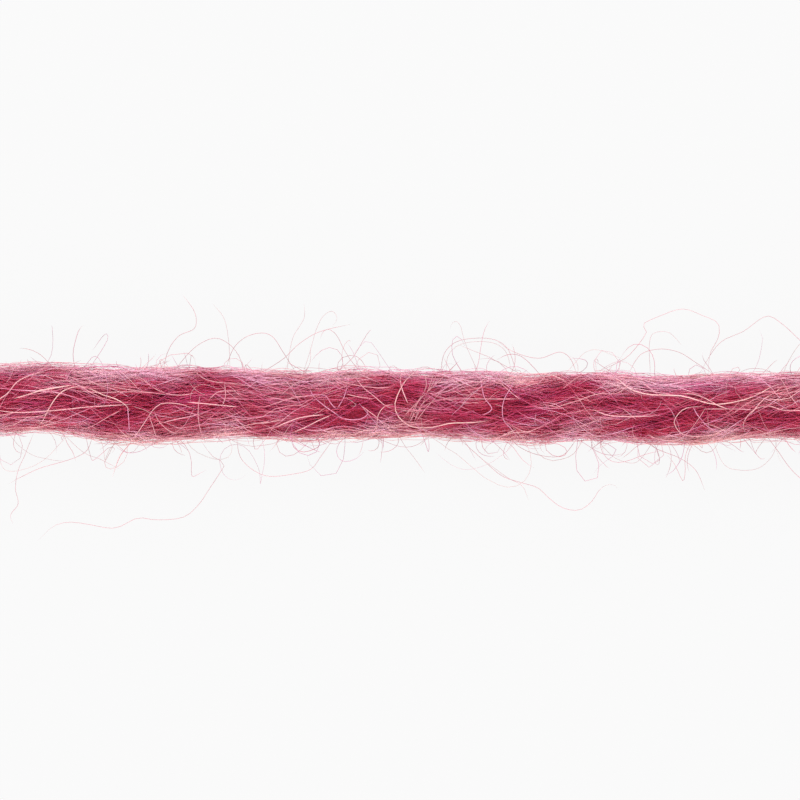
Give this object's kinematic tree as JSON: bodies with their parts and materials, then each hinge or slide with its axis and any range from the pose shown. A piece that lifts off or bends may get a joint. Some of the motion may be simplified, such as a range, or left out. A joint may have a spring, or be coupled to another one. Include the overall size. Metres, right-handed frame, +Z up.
{
  "type": "strand of wool yarn",
  "caption": "Cut length of soft, fuzzy two-ply wool yarn lying straight on a surface, with loose hairs standing off it.",
  "frame": {"origin": "on the resting surface at the strand's mid length, at the middle of its flat underside", "axes": "+X along the strand, +Y across it, +Z up from the surface"},
  "size_m": [0.06, 0.0122, 0.0059],
  "materials": {
    "strand_wool": "soft fuzzy wool, raspberry with rose and magenta fibres",
    "hair_wool": "fine pale pink wool hairs"
  },
  "bodies": {
    "root": {"strand": "strand_wool", "loose_hair_01": "hair_wool", "loose_hair_02": "hair_wool", "loose_hair_03": "hair_wool", "loose_hair_04": "hair_wool", "loose_hair_05": "hair_wool", "loose_hair_06": "hair_wool", "loose_hair_07": "hair_wool", "loose_hair_08": "hair_wool", "loose_hair_09": "hair_wool", "loose_hair_10": "hair_wool", "loose_hair_11": "hair_wool", "loose_hair_12": "hair_wool", "loose_hair_13": "hair_wool", "loose_hair_14": "hair_wool", "loose_hair_15": "hair_wool", "loose_hair_16": "hair_wool", "loose_hair_17": "hair_wool", "loose_hair_18": "hair_wool", "loose_hair_19": "hair_wool", "loose_hair_20": "hair_wool", "loose_hair_21": "hair_wool", "loose_hair_22": "hair_wool", "loose_hair_23": "hair_wool", "loose_hair_24": "hair_wool", "loose_hair_25": "hair_wool", "loose_hair_26": "hair_wool", "loose_hair_27": "hair_wool", "loose_hair_28": "hair_wool", "loose_hair_29": "hair_wool"}
  },
  "joints": []
}
